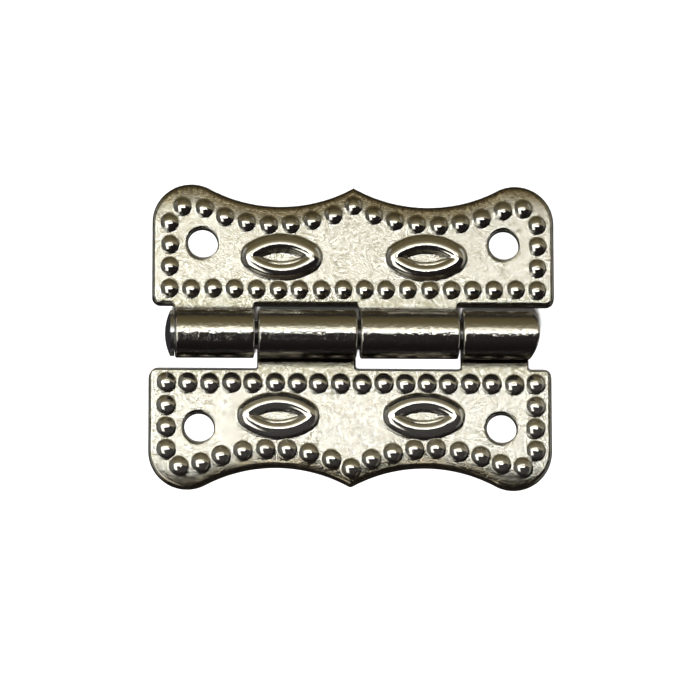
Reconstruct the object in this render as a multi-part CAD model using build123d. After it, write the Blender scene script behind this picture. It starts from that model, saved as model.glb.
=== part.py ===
import os
from math import acos, asin, cos, degrees, radians, sin, sqrt

from build123d import *

# The hinge lies open and flat on its back. X runs along the pin, Y points to the upper leaf and Z rises
# out of the decorated faces. The origin is on the back, under the middle of the hinge. Sizes are in
# millimetres. A leaf is drawn as the upper one, and its reaches are counted from its straight edge.

# Sheet and pin
sheet_thickness = 0.8
pin_diameter = 2.9
pin_clearance = 0.05
pin_end_inset = 0.45
head_diameter = 4.4
head_rim = 0.25
head_dome = 0.65
head_gap = 0.06

# Outline of a leaf, whose straight edge stays clear of the other leaf's barrel
leaf_width = 38.0
leaf_stagger = 0.15
barrel_to_edge = 0.9
near_corner_radius = 0.8
lobe_reach = 11.3
lobe_radius = 3.65
scallop_reach = 9.22
scallop_radius = 14.2
cusp_radius = 0.4
edge_break = 0.35

# Knuckles rolled round the pin
barrel_inset = 1.35
middle_knuckle_length = 9.25
knuckle_gap = 0.35
free_edge_gap = 0.12
free_corner_radius = 0.7
barrel_end_bulge = 0.85

# Screw holes
hole_diameter = 2.8
hole_side_inset = 4.75
hole_reach = 5.55
hole_rim_break = 0.32

# Border of beads, set in from the leaf's edges
bead_diameter = 1.8
bead_height = 0.42
bead_gap = 0.24
bead_row_reach = 1.28
bead_side_inset = 1.62
bead_top_inset = 2.05
bead_corner_inset = 1.65
bead_scallop_inset = 1.8
bead_scallop_ease = 1.8
bead_sides = 7
bead_pit_diameter = 1.0
bead_pit_depth = 0.35
bead_pit_sides = 5

# Eye-shaped rings, measured along the crest of the ridge
eye_to_hole = 7.4
eye_reach = 4.33
eye_length = 5.8
eye_height = 2.5
eye_end_radius = 0.5
ridge_width = 1.7
ridge_height = 0.45
groove_width = 0.9
groove_depth = 0.35

# Flats that a round crown is made of, from its top to its foot
crown_flats = 2

# Sizes that follow from those above
curl_radius = pin_diameter / 2 + pin_clearance
barrel_radius = curl_radius + sheet_thickness
edge_y = barrel_radius + barrel_to_edge
hole_x = leaf_width / 2 - hole_side_inset
head_height = head_rim + head_dome
barrel_end = leaf_width / 2 - barrel_inset
barrel_start = head_height + head_gap - barrel_end
barrel_middle = (barrel_start + barrel_end) / 2


# Start and end of each of the four knuckles along the pin, from the head's end
def knuckle_spans():
    inner = knuckle_gap / 2
    outer = inner + middle_knuckle_length
    return [
        (barrel_start, barrel_middle - outer - knuckle_gap),
        (barrel_middle - outer, barrel_middle - inner),
        (barrel_middle + inner, barrel_middle + outer),
        (barrel_middle + outer + knuckle_gap, barrel_end),
    ]


# The round corner of a lobe, and the hollow curve from it to the middle of the leaf
def scalloped_edge(corner, corner_radius, low_reach, hollow_radius):
    rise = corner.Y + corner_radius - low_reach
    low_x = corner.X - sqrt(2 * rise * (hollow_radius + corner_radius) - rise**2)
    hollow_centre = Vector(low_x, low_reach + hollow_radius)
    middle = Vector(0, hollow_centre.Y - sqrt(hollow_radius**2 - low_x**2))
    joint = corner + (hollow_centre - corner).normalized() * corner_radius
    lobe = RadiusArc(corner + Vector(corner_radius, 0), joint, -corner_radius)
    hollow = RadiusArc(joint, middle, hollow_radius)
    return lobe, hollow


def leaf_outline():
    half_width = leaf_width / 2
    corner = Vector(half_width - lobe_radius, lobe_reach - lobe_radius)
    lobe, hollow = scalloped_edge(corner, lobe_radius, scallop_reach, scallop_radius)
    near = Line((0, 0), (half_width, 0))
    side = Line(near @ 1, lobe @ 0)
    middle = Line(hollow @ 1, near @ 0)
    half = make_face([near, side, lobe, hollow, middle])
    outline = half + mirror(half, about=Plane.YZ)
    outline = fillet(outline.vertices().group_by(Axis.Y)[0], near_corner_radius)
    on_middle = outline.vertices().filter_by_position(Axis.X, -cusp_radius, cusp_radius)
    return fillet(on_middle.sort_by(Axis.Y)[-1], cusp_radius)


def leaf_plate():
    plate = extrude(leaf_outline(), sheet_thickness)
    drill = Cylinder(hole_diameter / 2, 3 * sheet_thickness)
    plate -= Pos(0, hole_reach) * GridLocations(2 * hole_x, 0, 2, 1) * drill
    front = plate.faces().sort_by(Axis.Z)[-1]
    plate = chamfer(front.outer_wire().edges(), edge_break)
    front = plate.faces().sort_by(Axis.Z)[-1]
    return chamfer([rim.edge() for rim in front.inner_wires()], hole_rim_break)


# Corners of one half of a low round crown, from its top to its foot
def half_crown(width, height):
    radius = ((width / 2) ** 2 + height**2) / (2 * height)
    spread = asin(width / 2 / radius)
    angles = [spread * i / crown_flats for i in range(crown_flats + 1)]
    return [(radius * sin(angle), radius * cos(angle) - radius + height) for angle in angles]


# Centres of the beads: the straight row beside the barrel, then the border round both lobes
def bead_places():
    pitch = bead_diameter + bead_gap
    side_x = leaf_width / 2 - bead_side_inset
    corner_radius = lobe_radius - bead_corner_inset
    corner = Vector(side_x - corner_radius, lobe_reach - bead_top_inset - corner_radius)
    low_reach = scallop_reach - bead_scallop_inset
    lobe, hollow = scalloped_edge(corner, corner_radius, low_reach, scallop_radius + bead_scallop_ease)
    row = Line((-side_x, bead_row_reach), (side_x, bead_row_reach))
    border = Wire([Line(row @ 1, lobe @ 0), lobe, hollow])
    row_steps = round(row.length / pitch)
    border_steps = round(border.length / pitch)
    along_row = [row @ (i / row_steps) for i in range(row_steps + 1)]
    right = [border @ (i / border_steps) for i in range(1, border_steps + 1)]
    left = [Vector(-place.X, place.Y) for place in right[:-1]]
    return along_row + right + left


# Corners of a ring of facets about the Z axis
def facet_ring(radius, height, sides):
    turns = [radians(360 * i / sides) for i in range(sides)]
    return [(radius * cos(turn), radius * sin(turn), height) for turn in turns]


# A faceted dome, in rings that follow the crown
def bead():
    top, *rings = half_crown(bead_diameter, bead_height)
    corners = [(0, 0, top[1])]
    for radius, height in rings:
        corners += facet_ring(radius, height, bead_sides)
    return ConvexPolyhedron(corners)


# The hollow that the punch leaves in the back of a bead
def bead_pit():
    bottom = (0, 0, bead_pit_depth)
    return ConvexPolyhedron(facet_ring(bead_pit_diameter / 2, 0, bead_pit_sides) + [bottom])


# A section turned about the Z axis at its crest's distance, through an angle to both sides of X
def turned_ridge(section, crest_radius, half_angle):
    face = Polygon(*[(crest_radius + x, y) for x, y in section], align=None)
    top = max(y for _, y in section)
    room = Rectangle(crest_radius + ridge_width, top, align=Align.MIN)
    return Rot(0, 0, -half_angle) * revolve(Plane.XZ * (face & room), Axis.Z, 2 * half_angle)


# The oval that a ridge's crest follows has two long sides and two tight ends, each a round arc
eye_end_x = eye_length / 2 - eye_end_radius
eye_bow = eye_height / 2 - eye_end_radius
eye_side_radius = (eye_end_x**2 + eye_bow**2) / (2 * eye_bow) + eye_end_radius
eye_side_y = eye_height / 2 - eye_side_radius


def eye_side(section, half_angle):
    return Pos(0, eye_side_y) * Rot(0, 0, 90) * turned_ridge(section, eye_side_radius, half_angle)


def eye_ring():
    half = half_crown(ridge_width, ridge_height)
    section = [(-x, y) for x, y in reversed(half)] + half[1:]
    side_angle = degrees(asin(eye_end_x / (eye_side_radius - eye_end_radius)))
    end = Pos(eye_end_x, 0) * turned_ridge(section, eye_end_radius, 90 - side_angle)
    turned_half = end + eye_side(section, side_angle)
    return turned_half + Rot(0, 0, 180) * turned_half


# The groove that the punch leaves in the back of a ring: two bows that meet at their tips
def eye_groove():
    section = [(-groove_width / 2, 0), (groove_width / 2, 0), (0, groove_depth)]
    bow = eye_side(section, degrees(acos(-eye_side_y / eye_side_radius)))
    return bow + Rot(0, 0, 180) * bow


# Angle below the horizontal at which the rolled sheet's free edge stops, just clear of the leaf
def free_edge_angle():
    return degrees(asin((curl_radius - free_edge_gap) / barrel_radius))


# Section of a knuckle: a strap from the leaf that rolls under the pin, up, over and back down
def curl_section():
    far = 2 * barrel_radius
    angle = radians(free_edge_angle())
    open_wedge = Polygon((0, 0), (0, -far), (far * cos(angle), -far * sin(angle)), align=None)
    ring = Circle(barrel_radius) - Circle(curl_radius) - open_wedge
    strap_length = edge_y + 2 * edge_break
    strap = Pos(0, -barrel_radius) * Rectangle(strap_length, sheet_thickness, align=Align.MIN)
    return Plane.YZ * (Pos(0, barrel_radius) * (ring + strap))


def knuckle(start, end):
    solid = Pos(start, 0) * extrude(curl_section(), end - start)
    angle = radians(free_edge_angle())
    free_corners = solid.edges().filter_by(Axis((0, 0, 0), (0, cos(angle), -sin(angle))))
    return fillet(free_corners, free_corner_radius)


# The knuckle at the barrel's open end, whose outer end swells in the middle
def bulged_knuckle(start, end):
    shoulder = start + barrel_end_bulge
    swell = ThreePointArc((shoulder, barrel_radius), (start, 0), (shoulder, -barrel_radius))
    far = edge_y + 2 * edge_break
    rest = Polyline(swell @ 1, (end, -barrel_radius), (end, far), (shoulder, far), swell @ 0)
    plan = make_face([swell, rest])
    return knuckle(start, end) & extrude(plan, 2 * barrel_radius)


# The plate with its beads and rings raised in front and hollow behind
def stamped_plate():
    front = Pos(0, 0, sheet_thickness)
    bead_spots = [Pos(place) for place in bead_places()]
    eye_x = hole_x - eye_to_hole
    eye_spots = [Pos(-eye_x, eye_reach), Pos(eye_x, eye_reach)]
    beads = [front * spot * bead() for spot in bead_spots]
    rings = [front * spot * eye_ring() for spot in eye_spots]
    pits = [spot * bead_pit() for spot in bead_spots]
    grooves = [spot * eye_groove() for spot in eye_spots]
    return leaf_plate() + beads + rings - pits - grooves


def leaf(knuckles):
    return Pos(leaf_stagger, edge_y) * stamped_plate() + knuckles


def upper_leaf():
    first, _, third, _ = knuckle_spans()
    return leaf([knuckle(*first), knuckle(*third)])


# The lower leaf is drawn the same way up and then turned half round
def lower_leaf():
    _, second, _, fourth = knuckle_spans()
    inner = knuckle(-second[1], -second[0])
    outer = bulged_knuckle(-fourth[1], -fourth[0])
    return Rot(0, 0, 180) * leaf([inner, outer])


def hinge_pin():
    head_face = barrel_start - head_gap
    tip = barrel_end - pin_end_inset
    pin_radius = pin_diameter / 2
    crown = half_crown(head_diameter, head_dome)
    dome = [(head_face - head_rim - height, radius) for radius, height in crown]
    shaft = [
        (head_face, head_diameter / 2),
        (head_face, pin_radius),
        (tip, pin_radius),
        (tip, 0),
    ]
    profile = Polygon(*dome, *shaft, align=None)
    return Pos(0, 0, barrel_radius) * revolve(profile, Axis.X)


os.makedirs("parts", exist_ok=True)
export_step(upper_leaf(), "parts/upper_leaf.step")
export_step(lower_leaf(), "parts/lower_leaf.step")
export_step(hinge_pin(), "parts/hinge_pin.step")
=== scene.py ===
import math

import bpy
import numpy as np
from mathutils import Matrix, Vector


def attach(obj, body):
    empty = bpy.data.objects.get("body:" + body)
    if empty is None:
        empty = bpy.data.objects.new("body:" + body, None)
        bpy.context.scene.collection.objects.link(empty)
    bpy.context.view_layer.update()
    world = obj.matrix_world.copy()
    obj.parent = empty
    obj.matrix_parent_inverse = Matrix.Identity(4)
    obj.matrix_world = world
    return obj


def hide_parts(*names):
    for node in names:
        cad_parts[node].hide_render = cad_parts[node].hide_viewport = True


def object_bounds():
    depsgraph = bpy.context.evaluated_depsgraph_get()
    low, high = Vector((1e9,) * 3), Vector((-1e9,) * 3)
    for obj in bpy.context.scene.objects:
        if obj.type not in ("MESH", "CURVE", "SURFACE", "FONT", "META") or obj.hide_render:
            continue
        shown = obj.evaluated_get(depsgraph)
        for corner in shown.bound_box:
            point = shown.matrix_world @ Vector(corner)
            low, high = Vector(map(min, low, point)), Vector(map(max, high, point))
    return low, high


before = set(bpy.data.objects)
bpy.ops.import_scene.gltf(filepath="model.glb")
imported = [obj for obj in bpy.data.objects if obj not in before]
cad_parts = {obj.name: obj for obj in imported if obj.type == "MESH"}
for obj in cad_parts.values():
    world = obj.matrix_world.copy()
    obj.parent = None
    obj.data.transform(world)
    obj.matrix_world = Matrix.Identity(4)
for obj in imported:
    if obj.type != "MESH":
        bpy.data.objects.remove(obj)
cadLow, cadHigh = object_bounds()

# Sizes below are in millimetres and become metres where a mesh is written
mm = 0.001
tiny = 1e-5
pinHeight = 2.3
random = np.random.default_rng(7)


def deselectAll():
    if bpy.context.object and bpy.context.object.mode == "EDIT":
        bpy.ops.object.mode_set(mode="OBJECT")
    bpy.ops.object.select_all(action="DESELECT")


def readPoints(piece):
    points = np.zeros(len(piece.data.vertices) * 3)
    piece.data.vertices.foreach_get("co", points)
    return points.reshape(-1, 3) / mm


def writePoints(piece, points):
    piece.data.vertices.foreach_set("co", (points * mm).ravel())
    piece.data.update()


# Picks faces or edges of a mesh and stays in edit mode
def pick(piece, kind, chosen):
    bpy.ops.object.mode_set(mode="EDIT")
    bpy.ops.mesh.select_mode(type=kind)
    bpy.ops.mesh.select_all(action="DESELECT")
    bpy.ops.object.mode_set(mode="OBJECT")
    items = piece.data.polygons if kind == "FACE" else piece.data.edges
    items.foreach_set("select", chosen)
    bpy.ops.object.mode_set(mode="EDIT")


def tidyMesh(piece, angle):
    bpy.context.view_layer.objects.active = piece
    bpy.ops.object.mode_set(mode="EDIT")
    bpy.ops.mesh.select_all(action="SELECT")
    bpy.ops.mesh.remove_doubles(threshold=1e-7)
    bpy.ops.mesh.normals_make_consistent(inside=False)
    bpy.ops.object.mode_set(mode="OBJECT")
    piece.select_set(True)
    bpy.ops.object.shade_smooth_by_angle(angle=math.radians(angle))
    piece.select_set(False)


# How far a rounded edge has dropped at a distance inside it
def roundDrop(distance, radius):
    inside = np.clip(radius - distance, 0, radius)
    return radius - np.sqrt(radius**2 - inside**2)


# The larger of two heights, with a small fillet where they meet
def softMax(a, b, fillet):
    return np.maximum(a, b) + np.clip(fillet - np.abs(a - b), 0, None) ** 2 / (4 * fillet)


# A round crown's height at a distance from its middle line
def crown(distance, width, height):
    radius = ((width / 2) ** 2 + height**2) / (2 * height)
    reach = np.minimum(distance, 0.98 * radius)
    return np.sqrt(radius**2 - reach**2) - radius + height


# A lobe's corner and the hollow that runs from it to the middle of the leaf
def scallop(corner, cornerRadius, lowReach, hollowRadius):
    rise = corner[1] + cornerRadius - lowReach
    lowX = corner[0] - math.sqrt(2 * rise * (hollowRadius + cornerRadius) - rise**2)
    hollow = (lowX, lowReach + hollowRadius)
    turn = math.atan2(hollow[1] - corner[1], hollow[0] - corner[0])
    return {"corner": corner, "cornerRadius": cornerRadius, "hollow": hollow, "radius": hollowRadius,
            "turn": turn, "jointX": corner[0] + cornerRadius * math.cos(turn)}


# Leaf: the blank's outline, counted from its straight edge
leaf = {"thickness": 0.8, "halfWidth": 19.0, "stagger": 0.15, "edgeY": 3.2, "nearCorner": 0.8,
        "cuspRadius": 0.4, "edgeRound": 0.42, "margin": 1.9, "marginCurve": 1.2,
        "lobeStart": 8.8, "lobeLength": 2.0, "columns": (134, 50), "rows": 86,
        "edgeSteps": (0, 0.004, 0.0085, 0.0145, 0.022, 0.032), "smoothAngle": 66}
# Screw holes: a rim is rounder on one side
holes = {"places": ((-14.25, 5.55), (14.25, 5.55)), "radius": 1.42, "round": 0.18,
         "lean": (-0.5, 0.85), "rimReach": 0.3}
outline = scallop((15.35, 7.65), 3.65, 9.22, 14.2)
cuspReach = outline["radius"] + leaf["cuspRadius"]
cuspY = outline["hollow"][1] - math.sqrt(cuspReach**2 - outline["hollow"][0] ** 2)
cuspX = leaf["cuspRadius"] * outline["hollow"][0] / cuspReach


def farEdge(x):
    x = np.abs(x)
    corner, hollow = outline["corner"], outline["hollow"]
    lobe = corner[1] + np.sqrt(np.clip(outline["cornerRadius"] ** 2 - (x - corner[0]) ** 2, 0, None))
    scoop = hollow[1] - np.sqrt(np.clip(outline["radius"] ** 2 - (x - hollow[0]) ** 2, 0, None))
    cusp = cuspY + np.sqrt(np.clip(leaf["cuspRadius"] ** 2 - x**2, 0, None))
    return np.where(x < cuspX, cusp, np.where(x < outline["jointX"], scoop, lobe))


def nearEdge(x):
    return roundDrop(leaf["halfWidth"] - np.abs(x), leaf["nearCorner"])


# Distance inside the outer edges and inside the straight one,
# and how squarely an outer edge faces away from the barrel
def edgeDistance(x, y, spans, lip):
    x = np.abs(x)
    corner, hollow = outline["corner"], outline["hollow"]
    side = leaf["halfWidth"] - x
    scoop = np.hypot(x - hollow[0], y - hollow[1]) - outline["radius"]
    turn = np.arctan2(y - corner[1], x - corner[0])
    lobe = outline["cornerRadius"] - np.hypot(x - corner[0], y - corner[1])
    lobe = np.where((turn >= 0) & (turn <= outline["turn"]), lobe, np.inf)
    far = np.minimum(scoop, lobe)
    facing = np.where(scoop < lobe, 1.0, np.clip(np.sin(turn), 0, 1)) * (far <= side)
    y, radius = y + lip, leaf["nearCorner"]
    near = radius - np.hypot(x - leaf["halfWidth"] + radius, y - radius)
    near = np.where((x > leaf["halfWidth"] - radius) & (y < radius), near, np.hypot(y, spans))
    return np.clip(np.minimum(side, far), 0, None), np.clip(near, 0, None), facing


# Beads: a straight row beside the barrel, and a border round both lobes
beads = {"height": 0.215, "flatTop": 1.3, "rowReach": 1.28, "sideX": 17.38, "rowSteps": 17,
         "borderSteps": 12, "shift": 0.035, "heightSpread": 0.05, "heightLimit": -1.5,
         "pitWidth": 1.0, "pitDepth": 0.35}
border = scallop((15.38, 7.25), 2.0, 7.42, 16.0)


def beadPlaces():
    sideX, reach = beads["sideX"], beads["rowReach"]
    corner, hollow = border["corner"], border["hollow"]
    start = math.atan2(corner[1] + border["cornerRadius"] * math.sin(border["turn"]) - hollow[1],
                       border["jointX"] - hollow[0])
    end = math.atan2(-math.sqrt(border["radius"] ** 2 - hollow[0] ** 2), -hollow[0])
    lengths = [corner[1] - reach, border["cornerRadius"] * border["turn"], border["radius"] * (start - end)]
    right = []
    for i in range(1, beads["borderSteps"] + 1):
        along = sum(lengths) * i / beads["borderSteps"]
        if along < lengths[0]:
            right.append((sideX, reach + along))
            continue
        centre, radius = corner, border["cornerRadius"]
        angle = (along - lengths[0]) / radius
        if along >= lengths[0] + lengths[1]:
            centre, radius = hollow, border["radius"]
            angle = start - (along - lengths[0] - lengths[1]) / radius
        right.append((centre[0] + radius * math.cos(angle), centre[1] + radius * math.sin(angle)))
    row = [(sideX * (2 * i / beads["rowSteps"] - 1), reach) for i in range(beads["rowSteps"] + 1)]
    return row + right + [(-x, y) for x, y in right[:-1]]


# Eyes: the oval that the crest of a ring follows
eyes = {"places": ((-6.85, 4.33), (6.85, 4.33)), "length": 5.8, "height": 2.5, "endRadius": 0.5,
        "outerWidth": 1.8, "innerWidth": 1.45, "rise": 0.45, "fillet": 0.18,
        "grooveWidth": 0.9, "grooveDepth": 0.35}


def crestDistance(x, y):
    x, y = np.abs(x), np.abs(y)
    endX = eyes["length"] / 2 - eyes["endRadius"]
    bow = eyes["height"] / 2 - eyes["endRadius"]
    sideRadius = (endX**2 + bow**2) / (2 * bow) + eyes["endRadius"]
    sideY = eyes["height"] / 2 - sideRadius
    sideAngle = math.asin(endX / (sideRadius - eyes["endRadius"]))
    onSide = np.arctan2(x, y - sideY) < sideAngle
    side = np.hypot(x, y - sideY) - sideRadius
    end = np.hypot(x - endX, y) - eyes["endRadius"]
    return np.where(onSide, side, end)


# Heights of the front: beads and rings stand up, and edges, margins and hole rims drop
def pressFront(x, y, spans, press):
    rise = np.zeros_like(x)
    for beadX, beadY in beadPlaces():
        shiftX, shiftY, grow = random.normal(0, 1, 3)
        away = np.hypot(x - beadX - shiftX * beads["shift"], y - beadY - shiftY * beads["shift"])
        spread = 1 + np.clip(grow, beads["heightLimit"], 0) * beads["heightSpread"]
        height = beads["height"] * press["beadWidth"] * spread
        # The top of a bead is a little flatter than a ball
        fall = np.clip(1 - crown(away, press["beadWidth"], height) / height, 0, None)
        rise = np.maximum(rise, softMax(height * (1 - fall ** beads["flatTop"]), 0, press["fillet"]))
    for eyeX, eyeY in eyes["places"]:
        away = crestDistance(x - eyeX, y - eyeY)
        width = np.where(away > 0, eyes["outerWidth"], eyes["innerWidth"])
        rise = np.maximum(rise, softMax(crown(np.abs(away), width, eyes["rise"]), 0, eyes["fillet"]))
    outer, near, facing = edgeDistance(x, y, spans, press["lip"])
    margin = np.clip(1 - outer / leaf["margin"], 0, 1) * facing
    lobe = np.clip((y - leaf["lobeStart"]) / leaf["lobeLength"], 0, 1)
    drop = (press["bend"] + press["lobeBend"] * lobe) * margin ** leaf["marginCurve"]
    drop = drop + roundDrop(outer, leaf["edgeRound"]) + roundDrop(near, press["nearRound"])
    leanX, leanY = holes["lean"]
    for holeX, holeY in holes["places"]:
        away = np.hypot(x - holeX, y - holeY)
        rim = holes["round"] + press["holeLean"] * (leanY * (y - holeY) + leanX * (x - holeX)) / away
        drop = drop + roundDrop(away - holes["radius"], rim)
    return leaf["thickness"] + rise - drop, margin


# Heights of the back: pits behind the beads and grooves behind the rings
def pressBack(x, y):
    depth = np.zeros_like(x)
    for beadX, beadY in beadPlaces():
        away = np.hypot(x - beadX, y - beadY) / (beads["pitWidth"] / 2)
        depth = np.maximum(depth, beads["pitDepth"] * np.clip(1 - away**2, 0, 1))
    for eyeX, eyeY in eyes["places"]:
        away = np.abs(crestDistance(x - eyeX, y - eyeY)) / (eyes["grooveWidth"] / 2)
        depth = np.maximum(depth, eyes["grooveDepth"] * np.clip(1 - away**2, 0, 1))
    return depth


# Knuckles: tabs of the blank that roll under the pin, up, over and back down
knuckles = {"radius": 2.3, "turn": math.radians(307), "rollLength": 10.18, "rows": 44, "flare": 0.3,
            "corner": 0.7, "endRound": 0.14, "endPacking": 0.12, "strapRound": 0.1, "neckLength": 2.4,
            "strapSteps": (0.06, 0.08, 0.1, 0.16, 0.2, 0.2, 0.2, 0.3, 0.7),
            "edgeSlack": 0.03, "tabSlack": 0.01}


# Ends of a tab at a distance from the leaf's edge, or at a height round the barrel
def tabEnds(tab, y, rolled):
    radius, bulge = knuckles["radius"], tab["bulge"]
    flare = roundDrop(np.clip(tab["edgeY"] - y, 0, None), knuckles["flare"])
    start = tab["start"] + bulge - flare
    if bulge:
        swellRadius = (radius**2 + bulge**2) / (2 * bulge)
        swell = tab["start"] + swellRadius - np.sqrt(swellRadius**2 - np.clip(y, -radius, radius) ** 2)
        start = np.where(rolled, swell, start)
    return start, tab["end"] + flare


def rollTab(points, tab, front):
    x, y, _ = points.T
    left, right = tab["columns"]
    fromEnd = np.minimum(x - left, right - x)
    packed = fromEnd * (1 - np.exp(-fromEnd / knuckles["endPacking"]))
    share = np.where(x < (left + right) / 2, packed, right - left - packed) / (right - left)
    rolled, radius = y < -tiny, knuckles["radius"]
    start, end = tabEnds(tab, y, False)
    inset = np.minimum(share, 1 - share) * (end - start)
    cut = roundDrop(inset, knuckles["corner"])
    angle = np.clip(-y / knuckles["rollLength"], 0, 1) * (knuckles["turn"] - cut / radius)
    depth = np.where(front, leaf["thickness"], 0.0)
    neck = tab["neck"] * np.sin(math.pi * np.clip((tab["edgeY"] - y) / knuckles["neckLength"], 0, 1)) ** 2
    depth = np.where(front & ~rolled, depth - neck - roundDrop(inset, knuckles["strapRound"]), depth)
    depth = np.where(~front & rolled, roundDrop(inset, knuckles["endRound"]), depth)
    away = radius - depth
    rollY, rollZ = -away * np.sin(angle), radius - away * np.cos(angle)
    start, end = tabEnds(tab, np.where(rolled, rollY, y), rolled)
    return np.c_[start + share * (end - start), np.where(rolled, rollY, y), np.where(rolled, rollZ, depth)]


# Faces inside the screw holes go, and the rims are drawn to the circles
def cutHoles(piece):
    centres = np.zeros(len(piece.data.polygons) * 3)
    piece.data.polygons.foreach_get("center", centres)
    centres = centres.reshape(-1, 3) / mm
    inHole = np.zeros(len(centres), bool)
    for holeX, holeY in holes["places"]:
        inHole |= np.hypot(centres[:, 0] - holeX, centres[:, 1] - holeY) < holes["radius"]
    pick(piece, "FACE", inHole)
    bpy.ops.mesh.delete(type="FACE")
    bpy.ops.mesh.select_mode(type="VERT")
    bpy.ops.mesh.select_all(action="DESELECT")
    bpy.ops.mesh.select_non_manifold(use_wire=False, use_multi_face=False,
                                     use_non_contiguous=False, use_verts=False)
    bpy.ops.object.mode_set(mode="OBJECT")
    points = readPoints(piece)
    onRim = np.zeros(len(points), bool)
    piece.data.vertices.foreach_get("select", onRim)
    for place in holes["places"]:
        away = np.hypot(points[:, 0] - place[0], points[:, 1] - place[1])
        snap = onRim & (away < holes["radius"] + holes["rimReach"])
        grow = (holes["radius"] / away[snap])[:, None]
        points[snap, :2] = place + (points[snap, :2] - place) * grow
    writePoints(piece, points)


# The blank: a grid whose columns and rows run to the outline
def makeBlank(name, lip):
    inner, outer = leaf["columns"]
    corner, side = outline["corner"][0], outline["cornerRadius"]
    bow = np.sin(np.linspace(0, math.pi / 2, outer + 1))[1:]
    half = np.r_[np.linspace(0, corner, inner + 1), corner + side * bow]
    columns = np.r_[-half[:0:-1], half]
    steps = np.array(leaf["edgeSteps"])
    rows = np.r_[steps, np.linspace(steps[-1], 1 - steps[-1], leaf["rows"])[1:-1], 1 - steps[::-1]]
    deselectAll()
    bpy.ops.mesh.primitive_grid_add(x_subdivisions=len(columns) - 1, y_subdivisions=len(rows) - 1,
                                    size=2 * mm)
    piece = bpy.context.object
    piece.name = piece.data.name = name
    points = readPoints(piece)
    x = columns[np.rint((points[:, 0] + 1) / 2 * (len(columns) - 1)).astype(int)]
    row = np.rint((points[:, 1] + 1) / 2 * (len(rows) - 1)).astype(int)
    y = nearEdge(x) - lip + rows[row] * (farEdge(x) - nearEdge(x) + lip)
    writePoints(piece, np.c_[x, y, np.full_like(x, leaf["thickness"])])
    cutHoles(piece)
    return piece


# Tabs grow out of the straight edge, and the blank gets its thickness
def growTabs(piece, tabs, lip):
    points = readPoints(piece)
    onEdge = np.abs(points[:, 1] + lip) < tiny
    reach = knuckles["flare"] + knuckles["edgeSlack"]
    inTab = np.zeros(len(points), bool)
    for tab in tabs:
        mine = onEdge & (points[:, 0] > tab["left"] - reach) & (points[:, 0] < tab["right"] + reach)
        tab["columns"] = (points[mine, 0].min(), points[mine, 0].max())
        inTab |= mine
    ends = np.zeros(len(piece.data.edges) * 2, int)
    piece.data.edges.foreach_get("vertices", ends)
    pick(piece, "EDGE", inTab[ends].reshape(-1, 2).all(1))
    strap, rollStep = knuckles["strapSteps"], knuckles["rollLength"] / knuckles["rows"]
    for step in strap + (leaf["edgeY"] - lip - sum(strap),) + (rollStep,) * knuckles["rows"]:
        bpy.ops.mesh.extrude_edges_move(TRANSFORM_OT_translate={"value": (0, -step * mm, 0)})
    bpy.ops.object.mode_set(mode="OBJECT")
    sheet = piece.modifiers.new("Sheet", "SOLIDIFY")
    sheet.thickness, sheet.offset = leaf["thickness"] * mm, -1
    bpy.ops.object.modifier_apply(modifier=sheet.name)


def makeLeaf(name, body, tabs, press, turned):
    lip, flare = press["lip"], knuckles["flare"]
    for tab in tabs:
        tab["left"] = tab["start"] + tab["bulge"] - leaf["stagger"]
        tab["right"] = tab["end"] - leaf["stagger"]
        tab["edgeY"], tab["neck"] = leaf["edgeY"] - lip, press["neck"]
    piece = makeBlank(name, lip)
    growTabs(piece, tabs, lip)

    # Both faces are pressed, and the tabs are rolled
    points = readPoints(piece)
    x, y, z = points.T.copy()
    front, plate = z > leaf["thickness"] / 2, y > -lip - tiny
    spans = np.zeros_like(x)
    for tab in tabs:
        spans = np.maximum(spans, np.minimum(x - tab["left"] + flare, tab["right"] + flare - x))
    top, bottom = front & plate, ~front & plate
    margin = np.zeros_like(x)
    points[top, 2], margin[top] = pressFront(x[top], y[top], spans[top], press)
    points[bottom, 2] = pressBack(x[bottom], y[bottom])
    points += (leaf["stagger"], leaf["edgeY"], 0)
    for tab in tabs:
        left, right = (column + leaf["stagger"] for column in tab["columns"])
        tab["columns"], slack = (left, right), knuckles["tabSlack"]
        mine = ~plate & (points[:, 0] > left - slack) & (points[:, 0] < right + slack)
        points[mine] = rollTab(points[mine], tab, front[mine])
    if turned:
        points[:, :2] *= -1
    writePoints(piece, np.clip(points, np.array(cadLow) / mm, np.array(cadHigh) / mm))
    # The margin weight carries the painted dark reflection of the bent margins to the plating
    piece.data.attributes.new("margin", "FLOAT", "POINT").data.foreach_set("value", margin * press["marginShade"])
    tidyMesh(piece, leaf["smoothAngle"])
    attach(piece, body)
    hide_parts(name.replace("_pressed", ""))
    print(name, len(piece.data.polygons), "faces")
    return piece


# The upper leaf's margins bend down more, and its straight edge lies nearer the barrel
upperTabs = [{"start": -16.69, "end": -9.295, "bulge": 0}, {"start": 0.655, "end": 9.905, "bulge": 0}]
upperPress = {"bend": 0.25, "lobeBend": 0, "marginShade": 0.25, "lip": 0.3, "nearRound": 0.45,
              "holeLean": 0.16, "neck": 0.13, "beadWidth": 1.52, "fillet": 0.24}
upperLeaf = makeLeaf("upper_leaf_pressed", "upper", upperTabs, upperPress, False)

# The lower leaf is turned half round and has the bulged end of the barrel
lowerTabs = [{"start": -0.305, "end": 8.945, "bulge": 0}, {"start": -17.4, "end": -10.255, "bulge": 0.75}]
lowerPress = {"bend": 0.08, "lobeBend": 0.09, "marginShade": 0.19, "lip": 0, "nearRound": 0.04,
              "holeLean": -0.16, "neck": 0.04, "beadWidth": 1.68, "fillet": 0.22}
lowerLeaf = makeLeaf("lower_leaf_pressed", "lower", lowerTabs, lowerPress, True)

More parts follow.
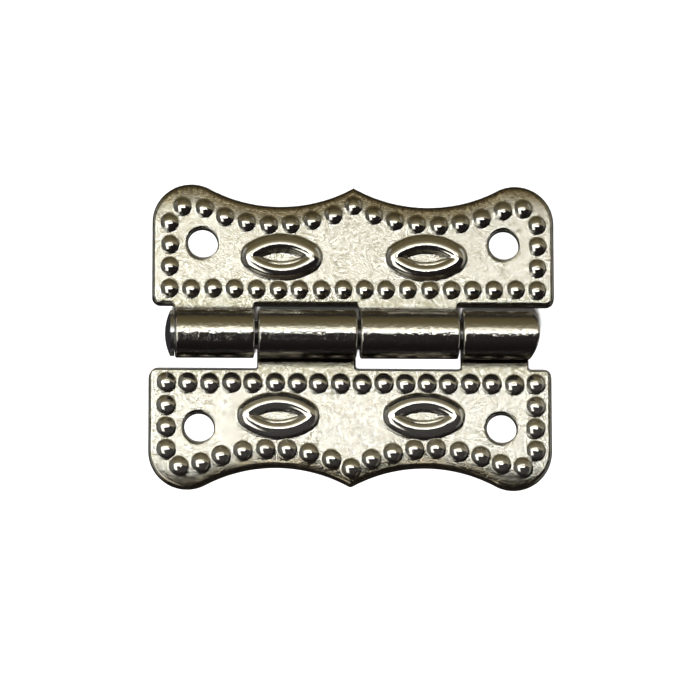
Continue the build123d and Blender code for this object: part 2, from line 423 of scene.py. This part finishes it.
# Pin: stations along it from the tip to the middle of the domed head
pin = {"tip": 17.2, "radius": 1.45, "tipRound": 0.2, "tipStep": 0.06, "headFace": -16.75,
       "headRadius": 2.15, "headBreak": 0.05, "rim": 0.4, "dome": 0.5, "domeSteps": 12,
       "sides": 64, "smoothAngle": 40}


def makePin():
    headFace, headRadius, dome, edge = pin["headFace"], pin["headRadius"], pin["dome"], pin["headBreak"]
    domeRadius = (headRadius**2 + dome**2) / (2 * dome)
    spread = math.asin(headRadius / domeRadius)
    rimX = headFace - pin["rim"]
    stations = [(pin["tip"] - pin["tipStep"], pin["radius"] - pin["tipStep"]),
                (pin["tip"] - pin["tipRound"], pin["radius"]), (headFace, pin["radius"]),
                (headFace, headRadius - edge), (headFace - edge, headRadius), (rimX, headRadius)]
    for i in range(1, pin["domeSteps"] + 1):
        angle = spread * (1 - i / (pin["domeSteps"] + 0.5))
        stations.append((rimX - dome + domeRadius * (1 - math.cos(angle)), domeRadius * math.sin(angle)))
    atX, atRadius = pin["tip"], pin["radius"] - pin["tipRound"]
    deselectAll()
    bpy.ops.mesh.primitive_circle_add(vertices=pin["sides"], radius=atRadius * mm, fill_type="NGON",
                                      location=(atX * mm, 0, pinHeight * mm), rotation=(0, math.pi / 2, 0))
    piece = bpy.context.object
    piece.name = piece.data.name = "hinge_pin_turned"
    bpy.ops.object.transform_apply(location=True, rotation=True, scale=True)
    bpy.ops.object.mode_set(mode="EDIT")
    bpy.ops.mesh.select_all(action="SELECT")
    for x, radius in stations:
        bpy.ops.mesh.extrude_region_move(TRANSFORM_OT_translate={"value": ((x - atX) * mm, 0, 0)})
        grow = radius / atRadius
        bpy.ops.transform.resize(value=(1, grow, grow), center_override=(x * mm, 0, pinHeight * mm))
        atX, atRadius = x, radius
    bpy.ops.object.mode_set(mode="OBJECT")
    tidyMesh(piece, pin["smoothAngle"])
    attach(piece, "upper")
    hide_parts("hinge_pin")
    print(piece.name, len(piece.data.polygons), "faces")
    return piece


hingePin = makePin()


# Shader sums are written with the usual signs
class Wire:
    def __init__(self, tree, socket):
        self.tree, self.socket = tree, socket

    def add(self, kind, settings=None, inputs=None):
        node = self.tree.nodes.new(kind)
        for name, value in (settings or {}).items():
            setattr(node, name, value)
        for name, value in (inputs or {}).items():
            if isinstance(value, Wire):
                self.tree.links.new(value.socket, node.inputs[name])
            else:
                node.inputs[name].default_value = value
        return node

    def out(self, node, name=0):
        return Wire(self.tree, node.outputs[name])

    def maths(self, operation, first, second=0):
        return self.out(self.add("ShaderNodeMath", {"operation": operation}, {0: first, 1: second}))

    def __add__(self, other):
        return self.maths("ADD", self, other)

    def __radd__(self, other):
        return self.maths("ADD", other, self)

    def __sub__(self, other):
        return self.maths("SUBTRACT", self, other)

    def __rsub__(self, other):
        return self.maths("SUBTRACT", other, self)

    def __mul__(self, other):
        return self.maths("MULTIPLY", self, other)

    def __rmul__(self, other):
        return self.maths("MULTIPLY", other, self)

    def __truediv__(self, other):
        return self.maths("DIVIDE", self, other)

    def __rtruediv__(self, other):
        return self.maths("DIVIDE", other, self)

    def __abs__(self):
        return self.maths("ABSOLUTE", self)

    def ramp(self, low, high):
        inputs = {"Value": self, "From Min": low, "From Max": high}
        return self.out(self.add("ShaderNodeMapRange", {"interpolation_type": "SMOOTHSTEP"}, inputs))

    def noise(self, scale, detail, rough=0.5):
        inputs = {"Vector": self, "Scale": scale, "Detail": detail, "Roughness": rough}
        return self.out(self.add("ShaderNodeTexNoise", None, inputs))

    def axis(self, name):
        return self.out(self.add("ShaderNodeSeparateXYZ", None, {0: self}), name)

    def mix(self, first, second):
        node = self.add("ShaderNodeMix", {"data_type": "RGBA"}, {"Factor": self})
        for socket, value in ((node.inputs[6], first), (node.inputs[7], second)):
            if isinstance(value, Wire):
                self.tree.links.new(value.socket, socket)
            else:
                socket.default_value = (*value, 1)
        return self.out(node, 2)

    def bump(self, strength, distance):
        inputs = {"Height": self, "Strength": strength, "Distance": distance}
        return self.out(self.add("ShaderNodeBump", None, inputs))


def newMaterial(name):
    material = bpy.data.materials.new(name)
    material.use_nodes = True
    tree = material.node_tree
    shader = tree.nodes["Principled BSDF"]
    place = Wire(tree, tree.nodes.new("ShaderNodeTexCoord").outputs["Object"])
    return material, shader, place


def feed(place, shader, **inputs):
    for name, value in inputs.items():
        socket = shader.inputs[name.replace("_", " ")]
        if isinstance(value, Wire):
            place.tree.links.new(value.socket, socket)
        else:
            socket.default_value = value


# Plating: satin and grainy on the flats, smoother where the press and the roll have rubbed it; the flats'
# tone is darker than the raised work's, painted shade that keeps them from glaring under the bright key
plating = {"light": (0.68, 0.665, 0.605), "dark": (0.48, 0.45, 0.37), "bright": (0.93, 0.91, 0.84),
           "olive": (0.58, 0.51, 0.36), "marginShadeDark": (0.3, 0.26, 0.18), "paintedShade": (0.1, 0.085, 0.06),
           "strapShade": (0.4, 0.385, 0.29), "flatRough": 0.19, "raisedRough": 0.12, "roughSpread": 0.12,
           "grainScale": 9000, "speckScale": 3400, "cloudScale": 700, "rollScale": 2600,
           "raisedFrom": 0.85, "raisedTo": 1.05, "rolledFrom": 2, "rolledTo": 3,
           "marginShadeSpread": 0.16, "flankShade": 0.55, "dull": 0.02, "relief": 0.012}


def platingMaterial():
    material, shader, place = newMaterial("plating")
    height, depth = place.axis("Z"), abs(place.axis("Y"))
    raised = height.ramp(plating["raisedFrom"] * mm, plating["raisedTo"] * mm)
    rolled = height.ramp(plating["rolledFrom"] * mm, plating["rolledTo"] * mm)
    grain = place.noise(plating["grainScale"], 1)
    speck = place.noise(plating["speckScale"], 1)
    cloud = place.noise(plating["cloudScale"], 3, 0.6)
    margin = place.out(place.add("ShaderNodeAttribute", {"attribute_name": "margin"}), "Fac")
    # Bent margins get a mottled painted reflection, dark olive, where they tilt away from the key
    marginShade = (margin + plating["marginShadeSpread"] * (cloud + speck - 1)).ramp(0.05, 0.16)
    tint = (0.35 * grain + 0.45 * speck + 0.2 * cloud).ramp(0.36, 0.58)
    # Flats take the darker tone as painted shade; raised work and the barrel take the bright one
    colour = raised.mix(tint.mix(plating["dark"], plating["light"]), plating["bright"])
    colour = marginShade.mix(colour, tint.mix(plating["marginShadeDark"], plating["olive"]))
    # Painted shade darkens the barrel towards its flanks, and painted shadow fills the crease beside it and
    # dims the straps next to it
    colour = (plating["flankShade"] * rolled * depth.ramp(0.5 * mm, 2 * mm)).mix(colour, plating["paintedShade"])
    besideRoll = depth.ramp(1.75 * mm, 2.15 * mm)
    # Painted shade, mottled, on the straps beside the barrel
    strapShade = (besideRoll - depth.ramp(3.2 * mm, 4.2 * mm)) * tint.ramp(1.3, 0.3)
    # Painted shadow in the crease where the roll meets the strap
    paintedShade = besideRoll - depth.ramp(2.25 * mm, 3.1 * mm)
    colour = paintedShade.mix(strapShade.mix(colour, plating["strapShade"]), plating["paintedShade"])
    rubbed = (plating["raisedRough"] - plating["flatRough"]) * (raised - 0.5 * rolled)
    rough = plating["flatRough"] + rubbed + plating["roughSpread"] * (speck - 0.5)
    ripple = 3 * place.noise(plating["rollScale"], 2) * rolled
    relief = (grain + speck) * (1 - 0.8 * raised + 0.4 * rolled) + ripple
    # The lower leaf's raised work is a little duller
    dull = plating["dull"] * (raised - rolled) * place.axis("Y").ramp(0, -3 * mm)
    feed(place, shader, Metallic=1 - dull, Base_Color=colour, Roughness=rough,
         Normal=relief.bump(1.0, plating["relief"] * mm))
    return material


# Pin steel: painted shade along the shaft, which shows only in the dark knuckle gaps, and paler on the head
pinFinish = {"light": (0.2, 0.2, 0.21), "dark": (0.13, 0.13, 0.135), "head": (0.8, 0.81, 0.84),
             "rough": 0.2, "roughSpread": 0.12, "grainScale": 3000, "relief": 0.004, "blend": 0.1}


def pinMaterial():
    material, shader, place = newMaterial("pin_steel")
    grain = place.noise(pinFinish["grainScale"], 3, 0.6)
    headFace, blend = pin["headFace"], pinFinish["blend"]
    head = place.axis("X").ramp((headFace + blend) * mm, (headFace - blend) * mm)
    # The shaft's dark tone is painted shade for the knuckle gaps
    colour = head.mix(grain.ramp(0.3, 0.7).mix(pinFinish["dark"], pinFinish["light"]), pinFinish["head"])
    rough = pinFinish["rough"] + pinFinish["roughSpread"] * (grain - 0.5)
    feed(place, shader, Metallic=1.0, Base_Color=colour, Roughness=rough,
         Normal=grain.bump(1.0, pinFinish["relief"] * mm))
    return material


plated, steel = platingMaterial(), pinMaterial()
for piece, material in ((upperLeaf, plated), (lowerLeaf, plated), (hingePin, steel)):
    piece.data.materials.clear()
    piece.data.materials.append(material)
print("materials set")


# A cloth that only reflections see
def makeStage(name, shade):
    stage = bpy.context.object
    stage.name = name
    material, shader, place = newMaterial(name + "_cloth")
    colour = shade(place) if callable(shade) else (*shade, 1)
    feed(place, shader, Base_Color=(0, 0, 0, 1), Specular_IOR_Level=0.0,
         Emission_Color=colour, Emission_Strength=1.0)
    stage.data.materials.append(material)
    stage.visible_camera = stage.visible_shadow = stage.visible_diffuse = False
    return stage


# Floor: pale, under a lamp of its own
floor = {"size": 12, "level": -0.02, "tone": 0.86, "glow": 0.04,
         "light": (0.13, 0.36, -1), "power": 5.6, "softness": 8}


def makeFloor():
    deselectAll()
    bpy.ops.mesh.primitive_plane_add(size=floor["size"], location=(0, 0, floor["level"] * mm))
    sheet = bpy.context.object
    sheet.name = "floor"
    material, shader, place = newMaterial("floor_white")
    feed(place, shader, Base_Color=(floor["tone"],) * 3 + (1,), Roughness=0.9, Specular_IOR_Level=0.0,
         Emission_Color=(1, 1, 1, 1), Emission_Strength=floor["glow"])
    sheet.data.materials.append(material)
    data = bpy.data.lights.new("floor_lamp", "SUN")
    data.energy, data.angle = floor["power"], math.radians(floor["softness"])
    lamp = bpy.data.objects.new("floor_lamp", data)
    lamp.rotation_euler = Vector(floor["light"]).to_track_quat("-Z", "Y").to_euler()
    lamp.visible_glossy = False
    bpy.context.scene.collection.objects.link(lamp)


# Mat: reflections see it, dim, instead of the white floor
mat = {"size": 8, "level": -0.01, "glow": (0.03, 0.028, 0.03)}


def makeMat():
    deselectAll()
    bpy.ops.mesh.primitive_plane_add(size=mat["size"], location=(0, 0, mat["level"] * mm))
    makeStage("mat", mat["glow"])


# Tent: dark overhead, olive down the upper leaf's side and paler low at both ends
tent = {"radius": 3.0, "overhead": (0.012, 0.01, 0.01), "high": (0.27, 0.24, 0.165),
        "low": (0.112, 0.091, 0.048), "foot": (0.02, 0.018, 0.014), "left": (0.1, 0.098, 0.09),
        "ends": (0.42, 0.41, 0.38)}


def tentShade(place):
    away = place.maths("ARCTAN2", place.axis("Y"), place.axis("Z"))
    sideways = place.axis("X") / tent["radius"]
    olive = away.ramp(math.radians(20), math.radians(52)).mix(tent["high"], tent["low"])
    olive = away.ramp(math.radians(70), math.radians(105)).mix(olive, tent["foot"])
    shade = away.ramp(math.radians(10), math.radians(20)).mix(tent["overhead"], olive)
    shade = sideways.ramp(-0.5, -0.85).mix(shade, tent["left"])
    lowEnds = abs(sideways).ramp(0.55, 0.7) * place.axis("Z").ramp(1.1, 0.8)
    return lowEnds.mix(shade, tent["ends"])


def makeTent():
    deselectAll()
    bpy.ops.mesh.primitive_uv_sphere_add(segments=48, ring_count=24, radius=tent["radius"])
    makeStage("tent", tentShade).visible_diffuse = True


# Key cloth: brightest at the left and along its near edge
key = {"from": (-0.33, 0.0315, 0.4), "to": (0.15, 0.16, 0.4), "middle": (0.42, 0.39, 0.2),
       "left": (1.75, 1.74, 1.57), "right": (0.42, 0.4, 0.36), "far": (1.3, 1.28, 1.15),
       "near": (14.6, 14.6, 14.6)}


def keyShade(place):
    along, across = place.axis("X"), place.axis("Y")
    tone = along.ramp(-0.01, -0.07).mix(key["middle"], key["left"])
    tone = along.ramp(0.0, 0.05).mix(tone, key["right"])
    tone = across.ramp(0.09, 0.105).mix(tone, key["far"])
    return across.ramp(0.047, 0.034).mix(tone, key["near"])


# Side cloth: plain, at the left
side = {"from": (-0.324, -0.32, 0.4), "to": (-0.1, 0.0315, 0.4), "glow": (1.4, 1.4, 1.3)}


def makeCloth(name, cloth, shade):
    low, high = Vector(cloth["from"]), Vector(cloth["to"])
    deselectAll()
    bpy.ops.mesh.primitive_plane_add(size=1, location=(low + high) / 2)
    bpy.ops.transform.resize(value=(high.x - low.x, high.y - low.y, 1))
    bpy.ops.object.transform_apply(location=True, rotation=True, scale=True)
    makeStage(name, shade)


makeFloor()
makeMat()
makeTent()
makeCloth("key", key, keyShade)
makeCloth("side", side, side["glow"])
world = bpy.data.worlds.new("pale")
bpy.context.scene.world = world
world.use_nodes = True
world.node_tree.nodes["Background"].inputs["Color"].default_value = (0.95, 0.95, 0.95, 1)
print("studio set")

# Camera: almost straight above, a little from the lower leaf's side, with a long lens
view = {"tilt": 7.94, "lean": -3.0, "roll": 0.33, "distance": 0.4, "shift": (-0.167, -1.159),
        "sensor": 36, "pixels": 700, "pixelsPerMm": 10.595}


def makeCamera():
    data = bpy.data.cameras.new("camera")
    data.sensor_width = view["sensor"]
    data.lens = view["sensor"] * view["distance"] / (view["pixels"] / view["pixelsPerMm"] * mm)
    data.clip_start, data.clip_end = 0.01, 20
    camera = bpy.data.objects.new("camera", data)
    turn = Matrix.Identity(4)
    for name, axis in (("tilt", "X"), ("lean", "Y"), ("roll", "Z")):
        turn = turn @ Matrix.Rotation(math.radians(view[name]), 4, axis)
    camera.matrix_world = turn @ Matrix.Translation((*(Vector(view["shift"]) * mm), view["distance"]))
    bpy.context.scene.collection.objects.link(camera)
    bpy.context.scene.camera = camera


makeCamera()
bpy.context.scene.view_settings.view_transform = "Standard"
